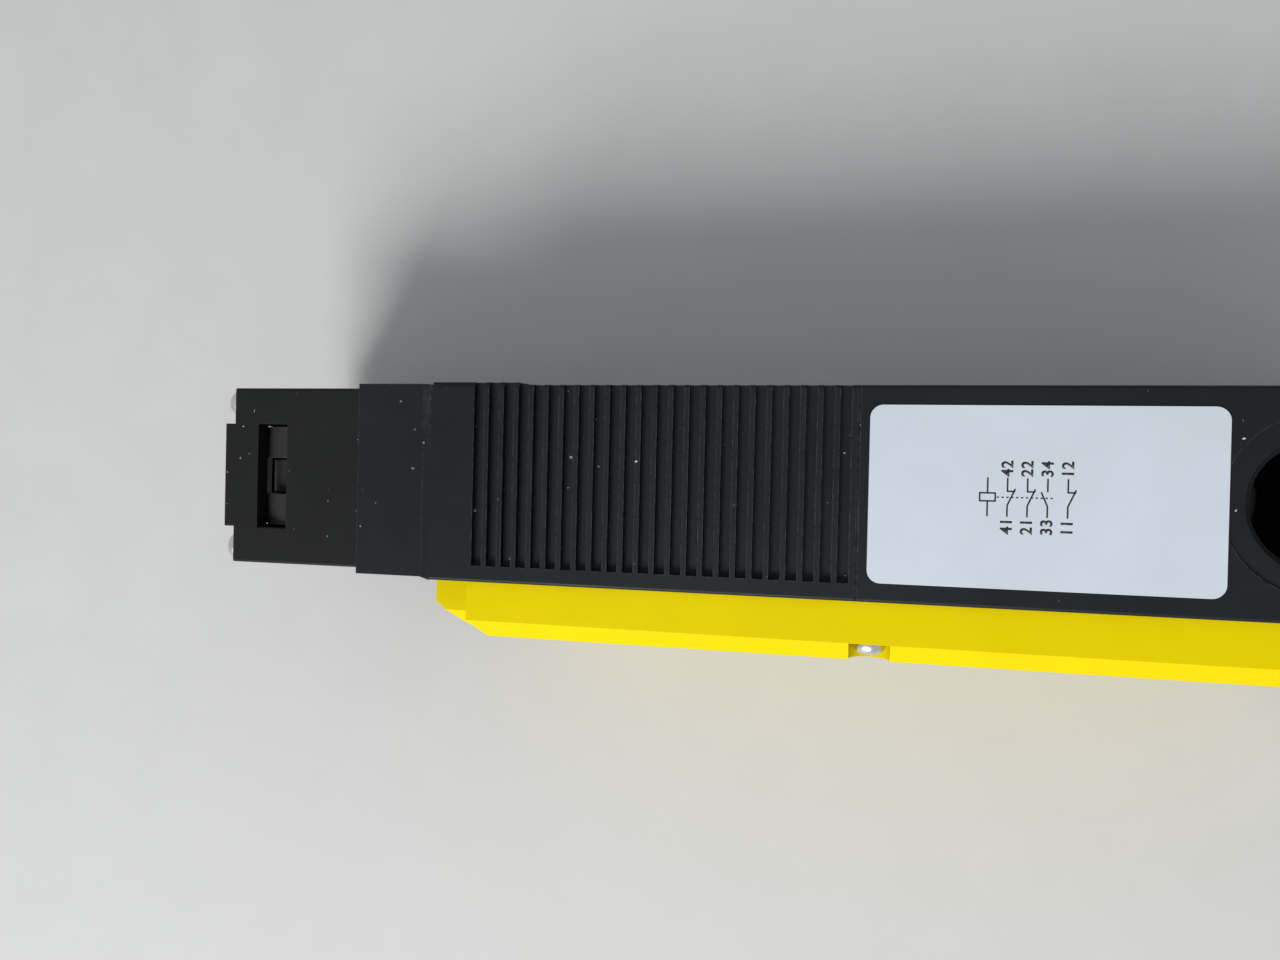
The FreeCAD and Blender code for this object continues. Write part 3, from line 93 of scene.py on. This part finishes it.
def moulding_grain():
    """Spark-eroded tool grain: a height for the bump and slow patches of sheen."""
    group, given, result = effect("moulding_grain", {"Grain per metre": 4000.0}, ["Height", "Patches"])
    place = add(group, "TexCoord").outputs["Object"]
    grain = add(group, "TexNoise", {"Vector": place, "Scale": given["Grain per metre"],
                                    "Detail": 3.0, "Roughness": 0.6})
    patches = add(group, "TexNoise", {"Vector": place, "Scale": 55.0, "Detail": 4.0,
                                      "Roughness": 0.62, "Distortion": 0.4})
    group.links.new(grain.outputs["Fac"], result["Height"])
    group.links.new(patches.outputs["Fac"], result["Patches"])
    return group


def loose_dust():
    """White specks of dust: only a few cells of a cell pattern hold one, each of its own size."""
    group, given, result = effect("loose_dust", {"Specks per metre": 420.0, "Share": 0.1}, ["Mask"])
    place = add(group, "TexCoord").outputs["Object"]
    warp = add(group, "TexNoise", {"Vector": place, "Scale": 2500.0, "Detail": 2.0})
    shaken = add(group, "VectorMath", {0: warp.outputs["Color"], "Scale": 0.0006}, operation="SCALE")
    moved = add(group, "VectorMath", {0: place, 1: shaken.outputs["Vector"]}, operation="ADD")
    cells = add(group, "TexVoronoi", {"Vector": moved.outputs["Vector"],
                                      "Scale": given["Specks per metre"]})
    chance = add(group, "SeparateColor", {"Color": cells.outputs["Color"]})
    chosen = add(group, "Math", {0: chance.outputs["Red"], 1: given["Share"]}, operation="LESS_THAN")
    size = add(group, "MapRange", {"Value": chance.outputs["Green"], "To Min": 0.03, "To Max": 0.10})
    inside = add(group, "Math", {0: cells.outputs["Distance"], 1: size.outputs["Result"]},
                 operation="LESS_THAN")
    speck = add(group, "Math", {0: inside.outputs["Value"], 1: chosen.outputs["Value"]},
                operation="MULTIPLY")
    faint = add(group, "Math", {0: speck.outputs["Value"], 1: chance.outputs["Blue"]},
                operation="MULTIPLY")
    group.links.new(faint.outputs["Value"], result["Mask"])
    return group


def worn_and_highlit_edges():
    """Mask of the outer edges: partly where handling has rubbed the surface, partly a painted highlight
    where edges catch the light.
    """
    group, given, result = effect("worn_and_highlit_edges", {"Reach": 0.0004}, ["Mask"])
    round_normal = add(group, "Bevel", {"Radius": given["Reach"]}, samples=6).outputs["Normal"]
    true_normal = add(group, "NewGeometry").outputs["True Normal"]
    agree = add(group, "VectorMath", {0: round_normal, 1: true_normal}, operation="DOT_PRODUCT")
    edge = add(group, "MapRange", {"Value": agree.outputs["Value"], "From Min": 0.955, "From Max": 0.72})
    broken = add(group, "TexNoise", {"Vector": add(group, "TexCoord").outputs["Object"],
                                     "Scale": 900.0, "Detail": 5.0, "Roughness": 0.7})
    ragged = add(group, "MapRange", {"Value": broken.outputs["Fac"], "From Min": 0.42, "From Max": 0.62})
    worn = add(group, "Math", {0: edge.outputs["Result"], 1: ragged.outputs["Result"]},
               operation="MULTIPLY")
    group.links.new(worn.outputs["Value"], result["Mask"])
    return group


GRAIN = moulding_grain()
DUST = loose_dust()
EDGES = worn_and_highlit_edges()


def moulded(name, colour, roughness, grain=4000.0, depth=0.35, dust=0.0, specks=420.0, wear_and_highlight=0.0,
            glint=0.5, uneven=0.12, dust_colour=(0.55, 0.55, 0.53), wear_and_highlight_colour=(0.2, 0.2, 0.2)):
    """Moulded plastic: tool grain, uneven sheen, edges lightened for wear and as painted highlight, and
    loose dust.
    """
    material = bpy.data.materials.new(name)
    material.use_nodes = True
    tree = material.node_tree
    shader = tree.nodes["Principled BSDF"]
    shader.inputs["Specular IOR Level"].default_value = glint
    skin = add(tree, "Group", node_tree=GRAIN)
    skin.inputs["Grain per metre"].default_value = grain
    tone = add(tree, "MapRange", {"Value": skin.outputs["Patches"], "From Min": 0.3, "From Max": 0.7,
                                  "To Min": 1.0 - uneven, "To Max": 1.0 + uneven})
    base = add(tree, "VectorMath", {0: colour, "Scale": tone.outputs["Result"]}, operation="SCALE")
    colour_now = base.outputs["Vector"]
    # Edges are lightened all round: partly rubbed wear, partly a painted highlight along edges that
    # catch the light.
    if wear_and_highlight:
        edges = add(tree, "Group", node_tree=EDGES)
        share = add(tree, "Math", {0: edges.outputs["Mask"], 1: wear_and_highlight}, operation="MULTIPLY")
        mix = add(tree, "Mix", {"Factor": share.outputs["Value"], "A": colour_now,
                                "B": (*wear_and_highlight_colour, 1.0)}, data_type="RGBA")
        colour_now = mix.outputs["Result"]
    if dust:
        loose = add(tree, "Group", node_tree=DUST)
        loose.inputs["Share"].default_value = dust
        loose.inputs["Specks per metre"].default_value = specks
        mix = add(tree, "Mix", {"Factor": loose.outputs["Mask"], "A": colour_now,
                                "B": (*dust_colour, 1.0)}, data_type="RGBA")
        colour_now = mix.outputs["Result"]
    tree.links.new(colour_now, shader.inputs["Base Color"])
    sheen = add(tree, "MapRange", {"Value": skin.outputs["Patches"], "From Min": 0.3, "From Max": 0.7,
                                   "To Min": roughness - 0.06, "To Max": roughness + 0.06})
    tree.links.new(sheen.outputs["Result"], shader.inputs["Roughness"])
    bump = add(tree, "Bump", {"Strength": depth, "Distance": 0.00002, "Height": skin.outputs["Height"]})
    tree.links.new(bump.outputs["Normal"], shader.inputs["Normal"])
    return material


slot_of = {entry["node"]: entry["material_slot"] for entry in frame["record"]["subparts"]}
body_of = {node: body for body, names in frame["record"]["behaviour"]["bodies"].items()
           for node in names}

# A copied part is loose triangles. They are welded, and flat runs are joined before the
# edges between faces that turn sharply are rounded.
WELD_DISTANCE = 0.000002
FLAT_WITHIN = math.radians(0.6)
SMOOTH_UP_TO = math.radians(30)
ROUND_FROM = math.radians(35)


def merged_copy(node, name):
    """Closed copy of a part, shown in the part's place."""
    bpy.ops.object.select_all(action="DESELECT")
    piece = cad[node].copy()
    piece.data = cad[node].data.copy()
    piece.name = piece.data.name = name
    piece.parent = None
    bpy.context.collection.objects.link(piece)
    bpy.context.view_layer.objects.active = piece
    piece.select_set(True)
    bpy.ops.object.mode_set(mode="EDIT")
    bpy.ops.mesh.select_all(action="SELECT")
    bpy.ops.mesh.remove_doubles(threshold=WELD_DISTANCE)
    bpy.ops.object.mode_set(mode="OBJECT")
    piece.data.materials.clear()
    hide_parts(node)
    return piece


def softened(node, name, edge):
    """Copy of a part with its sharp edges rounded, as wide as edge."""
    piece = merged_copy(node, name)
    bpy.ops.object.mode_set(mode="EDIT")
    bpy.ops.mesh.select_all(action="SELECT")
    bpy.ops.mesh.dissolve_limited(angle_limit=FLAT_WITHIN)
    bpy.ops.object.mode_set(mode="OBJECT")
    bevel = piece.modifiers.new("round", "BEVEL")
    bevel.width = edge
    bevel.segments = 2
    bevel.limit_method = "ANGLE"
    bevel.angle_limit = ROUND_FROM
    bpy.ops.object.modifier_apply(modifier="round")
    bpy.ops.object.shade_smooth_by_angle(angle=SMOOTH_UP_TO)
    even = piece.modifiers.new("even_shading", "WEIGHTED_NORMAL")
    even.keep_sharp = True
    bpy.ops.object.modifier_apply(modifier="even_shading")
    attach(piece, body_of[node])
    return piece


# The casing's edges are lightened strongly: partly rubbed wear, partly painted highlight along the ribs
# and the neck.
casing_black = moulded("casing_black", (0.0062, 0.0086, 0.0100), roughness=0.50, dust=0.45,
                       wear_and_highlight=0.6, glint=0.2, wear_and_highlight_colour=(0.095, 0.102, 0.106))
casing = softened("housing", "casing", edge=0.00012)
casing.data.materials.append(casing_black)

# ---------------------------------------------------------------- cable entries
# Each of the three cable entries has a metric thread for a gland. The thread is moulded in
# one with the casing, and starts and ends a little inside the bore.
ENTRY_CORE = 0.0092
THREAD_PITCH = 0.0015
RIDGE_RADIUS = 0.00032
RIDGE_SPREAD = 1.8
LEAD_IN = 0.0011
RUN_OUT = 0.0005
STEPS_PER_TURN = 48


def entry_thread(name, mouth, axis, length):
    """Helical thread ridge inside an entry, from its mouth inwards."""
    turns = int((length - LEAD_IN - RUN_OUT) / THREAD_PITCH)
    bpy.ops.object.select_all(action="DESELECT")
    bpy.ops.mesh.primitive_circle_add(vertices=6, radius=RIDGE_RADIUS, location=(0, 0, 0))
    thread = bpy.context.object
    thread.name = thread.data.name = name
    bpy.ops.object.mode_set(mode="EDIT")
    bpy.ops.mesh.select_all(action="SELECT")
    bpy.ops.transform.resize(value=(1.0, RIDGE_SPREAD, 1.0))
    bpy.ops.transform.rotate(value=math.pi / 2, orient_axis="X", center_override=(0.0, 0.0, 0.0))
    bpy.ops.transform.translate(value=(ENTRY_CORE, 0.0, 0.0))
    bpy.ops.object.mode_set(mode="OBJECT")
    helix = thread.modifiers.new("helix", "SCREW")
    helix.screw_offset = THREAD_PITCH
    helix.iterations = turns
    helix.steps = helix.render_steps = STEPS_PER_TURN
    helix.use_normal_calculate = True
    bpy.ops.object.modifier_apply(modifier="helix")
    bpy.ops.object.mode_set(mode="EDIT")
    bpy.ops.mesh.select_all(action="SELECT")
    bpy.ops.mesh.fill_holes(sides=6)
    bpy.ops.mesh.normals_make_consistent(inside=False)
    bpy.ops.object.mode_set(mode="OBJECT")
    thread.rotation_euler = axis.to_track_quat("Z", "Y").to_euler()
    thread.location = mouth - axis * (LEAD_IN + turns * THREAD_PITCH)
    bpy.ops.object.transform_apply(location=True, rotation=True, scale=True)
    thread.data.materials.append(casing_black)
    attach(thread, "root")


mounts = {mount["name"]: mount for mount in frame["record"]["mounts"]}
for entry in ("entry_side_top", "entry_side_bottom", "entry_end"):
    mount = mounts[entry]
    axis = Vector(mount["axis"])
    length = mount["dims"]["length_mm"] / 1000
    mouth = Vector(mount["pos_m"]) + axis * length / 2
    entry_thread(entry + "_thread", mouth, axis, length)

# ---------------------------------------------------------------- rating plate
# The rating plate is a printed silver-white film, glued in a shallow field of the casing.
# Its print is kept to the contact diagram with plain contact numbers.


def printed_film(name, colour, roughness):
    """Printed film: finer grain than the mouldings, under a thin clear varnish."""
    material = moulded(name, colour, roughness, grain=9000.0, depth=0.1, dust=0.03, uneven=0.03,
                       dust_colour=(0.25, 0.25, 0.25))
    shader = material.node_tree.nodes["Principled BSDF"]
    shader.inputs["Coat Weight"].default_value = 0.35
    shader.inputs["Coat Roughness"].default_value = 0.22
    return material


plate_silver = printed_film("plate_silver", (0.515, 0.56, 0.61), roughness=0.35)
plate = softened("rating_plate", "plate_film", edge=0.00004)
plate.data.materials.append(plate_silver)
print_black = moulded("print_black", (0.012, 0.012, 0.013), roughness=0.5)

plate_low, plate_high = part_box("rating_plate")
PRINT_LINE = 0.00024
FIGURE_SIZE = 0.0023
INK_THICKNESS = 0.00002
print_z = plate_high.z + INK_THICKNESS / 2
print_parts = []
middle_y = (plate_low.y + plate_high.y) / 2


def stroke(start, end, width=PRINT_LINE):
    """Printed line between two points of the plate, each given by its x and y."""
    start, end = Vector(start), Vector(end)
    along = end - start
    bpy.ops.object.select_all(action="DESELECT")
    bpy.ops.mesh.primitive_plane_add(size=1.0, location=(*(start + end) / 2, print_z))
    piece = bpy.context.object
    piece.scale = (along.length, width, 1.0)
    piece.rotation_euler = (0.0, 0.0, math.atan2(along.y, along.x))
    bpy.ops.object.transform_apply(location=True, rotation=True, scale=True)
    print_parts.append(piece)


def figures(text, x, y):
    """Plain number, turned to read along the plate's width, centred on a point of the plate."""
    bpy.ops.object.select_all(action="DESELECT")
    bpy.ops.object.text_add(location=(0, 0, 0))
    curve = bpy.context.object.data
    curve.body = text
    curve.size = FIGURE_SIZE
    curve.align_x = "CENTER"
    curve.align_y = "CENTER"
    curve.space_character = 1.08
    curve.offset = 0.000055
    bpy.ops.object.convert(target="MESH")
    number = bpy.context.object
    number.rotation_euler = (0.0, 0.0, math.pi / 2)
    number.location = (x, y, print_z)
    bpy.ops.object.transform_apply(location=True, rotation=True, scale=True)
    print_parts.append(number)


# The diagram's first symbol is the coil: a small box across its lead.
COIL_INSET = 0.0173
coil_x = plate_low.x + COIL_INSET
LEAD_REACH = 0.0029
COIL_WIDTH = 0.0011
COIL_DEPTH = 0.0006
CORNER_LAP = 0.00008
stroke((coil_x, middle_y - LEAD_REACH), (coil_x, middle_y - COIL_DEPTH))
stroke((coil_x, middle_y + COIL_DEPTH), (coil_x, middle_y + LEAD_REACH))
for sign in (-1, 1):
    side_y = middle_y + sign * COIL_DEPTH
    stroke((coil_x - COIL_WIDTH, side_y), (coil_x + COIL_WIDTH, side_y))
    side_x = coil_x + sign * COIL_WIDTH
    stroke((side_x, middle_y - COIL_DEPTH - CORNER_LAP), (side_x, middle_y + COIL_DEPTH + CORNER_LAP))

# Then come the contacts, openers and one closer, with a number at each end of their leads.
ROW_PITCH = 0.0028
FIGURE_REACH = 0.0043
BLADE_FOOT = 0.0012
LEAD_STOP = 0.0009
OPENER_LEAN = 0.0011
OPENER_TIP = 0.0013
CLOSER_LEAN = 0.0009
rows = [("41", "42", True), ("21", "22", True), ("33", "34", False), ("11", "12", True)]
for k, (low_figure, high_figure, opener) in enumerate(rows, start=1):
    x = coil_x + k * ROW_PITCH
    figures(low_figure, x, middle_y - FIGURE_REACH)
    figures(high_figure, x, middle_y + FIGURE_REACH)
    stroke((x, middle_y - LEAD_REACH), (x, middle_y - BLADE_FOOT))
    stroke((x, middle_y + LEAD_REACH), (x, middle_y + LEAD_STOP))
    if opener:
        stroke((x, middle_y - BLADE_FOOT), (x + OPENER_LEAN, middle_y + OPENER_TIP))
        stroke((x - CORNER_LAP, middle_y + LEAD_STOP), (x + OPENER_LEAN, middle_y + LEAD_STOP))
    else:
        stroke((x, middle_y - BLADE_FOOT), (x - CLOSER_LEAN, middle_y + LEAD_STOP))

# A dashed line ties the blades to the coil.
DASH = 0.00034
DASH_COUNT = 12
DASH_LINE = 0.0002
DASH_INSET = 0.0013
for k in range(DASH_COUNT):
    x = coil_x + DASH_INSET + k * 2 * DASH
    stroke((x, middle_y), (x + DASH, middle_y), width=DASH_LINE)

bpy.ops.object.select_all(action="DESELECT")
for piece in print_parts:
    piece.select_set(True)
bpy.context.view_layer.objects.active = print_parts[0]
bpy.ops.object.join()
plate_print = bpy.context.view_layer.objects.active
plate_print.name = plate_print.data.name = "plate_print"
ink = plate_print.modifiers.new("ink", "SOLIDIFY")
ink.thickness = INK_THICKNESS
bpy.ops.object.modifier_apply(modifier="ink")
plate_print.data.materials.clear()
plate_print.data.materials.append(print_black)
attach(plate_print, "root")

# ---------------------------------------------------------------- cover
# The cover is a yellow moulded shell, screwed down on a rubber seal. Bevelled noses run
# over the ends of the casing, and its long edges are chamfered.
cover_yellow = moulded("cover_yellow", (0.645, 0.51, 0.0), roughness=0.5, depth=0.2, dust=0.1,
                       wear_and_highlight=0.2, glint=0.05, uneven=0.025, wear_and_highlight_colour=(0.75, 0.6, 0.03),
                       dust_colour=(0.35, 0.3, 0.12))
cover = softened("lid", "cover", edge=0.00018)
cover.data.materials.append(cover_yellow)
rubber_black = moulded("rubber_black", (0.012, 0.012, 0.012), roughness=0.75, grain=2500.0, depth=0.5)
for node in ("lid_seal", "plunger_seal", "release_seal"):
    cad[node].material_slots[0].material = rubber_black

# ---------------------------------------------------------------- actuator head
# The head is a separate cube of the same plastic, a little duller and less blue than the
# casing. Two slots open on the cam, whose discs take the tongue.
head_black = moulded("head_black", (0.0060, 0.0064, 0.0068), roughness=0.54, dust=0.38,
                     specks=700.0, wear_and_highlight=0.5, glint=0.2, wear_and_highlight_colour=(0.075, 0.075, 0.075))
head = softened("head_housing", "head_cube", edge=0.0001)
head.data.materials.append(head_black)
# The cam discs get a lighter black than the head: painted light that makes up for the shade deep inside
# the slots.
cam_black = moulded("cam_black", (0.025, 0.0255, 0.0265), roughness=0.6, dust=0.2, wear_and_highlight=0.3,
                    glint=0.15)
cam = softened("cam_wheel", "cam_discs", edge=0.0001)
cam.data.materials.append(cam_black)

# ---------------------------------------------------------------- screws and metal parts
# Stainless screws hold the head and the cover. The shafts, the bolt and the rod are ground
# steel, the brackets and the magnet frame are zinc-plated sheet, and the bush and the
# contacts are brass.


def drawn_marks():
    """Fine marks that turning, drawing or plating leaves on metal."""
    group, given, result = effect("drawn_marks", {"Marks per metre": 6000.0}, ["Height", "Stain"])
    place = add(group, "TexCoord").outputs["Object"]
    marks = add(group, "TexNoise", {"Vector": place, "Scale": given["Marks per metre"],
                                    "Detail": 2.0, "Roughness": 0.5})
    stain = add(group, "TexNoise", {"Vector": place, "Scale": 380.0, "Detail": 4.0, "Roughness": 0.6})
    group.links.new(marks.outputs["Fac"], result["Height"])
    group.links.new(stain.outputs["Fac"], result["Stain"])
    return group


MARKS = drawn_marks()


def bare_metal(name, colour, roughness):
    """Bare or plated metal with fine marks and a slightly stained sheen."""
    material = bpy.data.materials.new(name)
    material.use_nodes = True
    tree = material.node_tree
    shader = tree.nodes["Principled BSDF"]
    shader.inputs["Metallic"].default_value = 1.0
    skin = add(tree, "Group", node_tree=MARKS)
    tone = add(tree, "MapRange", {"Value": skin.outputs["Stain"], "From Min": 0.3, "From Max": 0.7,
                                  "To Min": 0.85, "To Max": 1.05})
    base = add(tree, "VectorMath", {0: colour, "Scale": tone.outputs["Result"]}, operation="SCALE")
    tree.links.new(base.outputs["Vector"], shader.inputs["Base Color"])
    sheen = add(tree, "MapRange", {"Value": skin.outputs["Stain"], "From Min": 0.3, "From Max": 0.7,
                                   "To Min": roughness - 0.05, "To Max": roughness + 0.08})
    tree.links.new(sheen.outputs["Result"], shader.inputs["Roughness"])
    bump = add(tree, "Bump", {"Strength": 0.2, "Distance": 0.00001, "Height": skin.outputs["Height"]})
    tree.links.new(bump.outputs["Normal"], shader.inputs["Normal"])
    return material


screw_steel = bare_metal("screw_steel", (0.78, 0.77, 0.74), roughness=0.22)
for node, name in (("lid_screws", "cover_screws"), ("head_screws", "cube_screws")):
    piece = softened(node, name, edge=0.00008)
    piece.data.materials.append(screw_steel)
metals = {"pin_steel": ((0.6, 0.6, 0.6), 0.25), "spring_steel": ((0.5, 0.5, 0.51), 0.3),
          "zinc_steel": ((0.66, 0.66, 0.64), 0.35), "iron_core": ((0.45, 0.45, 0.46), 0.38),
          "bush_brass": ((0.72, 0.52, 0.22), 0.3), "contact_brass": ((0.75, 0.56, 0.28), 0.3)}
finishes = {name: bare_metal(name, colour, roughness) for name, (colour, roughness) in metals.items()}

# ---------------------------------------------------------------- springs
# Both springs are wound from round steel wire. One end of each stands on the casing's side, the other on
# the plunger or the armature. The plunger's spring stays where it is, and the armature's spring moves
# whole with the armature.
plunger_coils = merged_copy("plunger_spring", "plunger_coils")
bpy.ops.object.shade_smooth()
plunger_coils.data.materials.append(finishes["spring_steel"])
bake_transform(plunger_coils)
armature_coils = merged_copy("armature_spring", "armature_coils")
bpy.ops.object.shade_smooth()
armature_coils.data.materials.append(finishes["spring_steel"])
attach(armature_coils, body_of["armature_spring"])
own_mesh(armature_coils)

# ---------------------------------------------------------------- inner plastics
# Contact frame, slider, bobbin and terminals are moulded insulators. The circuit board has a
# green solder mask and the coil a layer of yellow tape.
plastics = {"contact_plastic": ((0.42, 0.41, 0.37), 0.5), "carrier_plastic": ((0.30, 0.04, 0.02), 0.45),
            "coil_tape": ((0.5, 0.33, 0.04), 0.35), "board_green": ((0.01, 0.09, 0.03), 0.3),
            "component_black": ((0.02, 0.02, 0.02), 0.45)}
for name, (colour, roughness) in plastics.items():
    finishes[name] = moulded(name, colour, roughness)
for node, piece in cad.items():
    if slot_of[node] in finishes:
        piece.material_slots[0].material = finishes[slot_of[node]]

# ---------------------------------------------------------------- floor, light and camera
# The switch lies on its side on a plain pale floor. One broad lamp stands on the cover's side
# and the head's end, and the pale surroundings fill in the rest.
FLOOR_SIZE = 6.0
FLOOR_GAP = 0.00002
casing_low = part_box("housing")[0]
bpy.ops.object.select_all(action="DESELECT")
bpy.ops.mesh.primitive_plane_add(size=FLOOR_SIZE, location=(0, 0, casing_low.z - FLOOR_GAP))
floor = bpy.context.object
floor.name = "floor"
floor_pale = moulded("floor_pale", (0.50, 0.50, 0.50), roughness=0.8, grain=1500.0, depth=0.3,
                     uneven=0.02)
floor.data.materials.append(floor_pale)

LAMP_TARGET = Vector((0, -0.02, 0))
LAMP_SIDE = Vector((-0.32, -0.95, 0.85)).normalized()
LAMP_DISTANCE = 1.2
lamp_data = bpy.data.lights.new("main_lamp", "AREA")
lamp_data.size = 0.55
lamp_data.energy = 16.4
main_lamp = bpy.data.objects.new("main_lamp", lamp_data)
bpy.context.collection.objects.link(main_lamp)
main_lamp.location = LAMP_TARGET + LAMP_SIDE * LAMP_DISTANCE
main_lamp.rotation_euler = LAMP_SIDE.to_track_quat("Z", "Y").to_euler()

world = bpy.data.worlds.new("pale_room")
world.use_nodes = True
room_light = world.node_tree.nodes["Background"]
room_light.inputs["Color"].default_value = (0.96, 0.98, 1.0, 1.0)
room_light.inputs["Strength"].default_value = 0.5
bpy.context.scene.world = world

CAMERA_PLACE = (-0.003643, -0.014657, 0.177836)
CAMERA_SWING = 0.2319
CAMERA_TILT = -0.0080
CAMERA_ROLL = 0.0226
camera_data = bpy.data.cameras.new("camera")
camera_data.sensor_width = 36.0
camera_data.lens = 27.03
camera_data.clip_start = 0.005
camera = bpy.data.objects.new("camera", camera_data)
bpy.context.collection.objects.link(camera)
swing = Matrix.Rotation(CAMERA_SWING, 4, "Y")
tilt = Matrix.Rotation(CAMERA_TILT, 4, "X")
roll = Matrix.Rotation(CAMERA_ROLL, 4, "Z")
camera.matrix_world = Matrix.Translation(CAMERA_PLACE) @ swing @ tilt @ roll
bpy.context.scene.camera = camera
bpy.context.scene.view_settings.view_transform = "Standard"
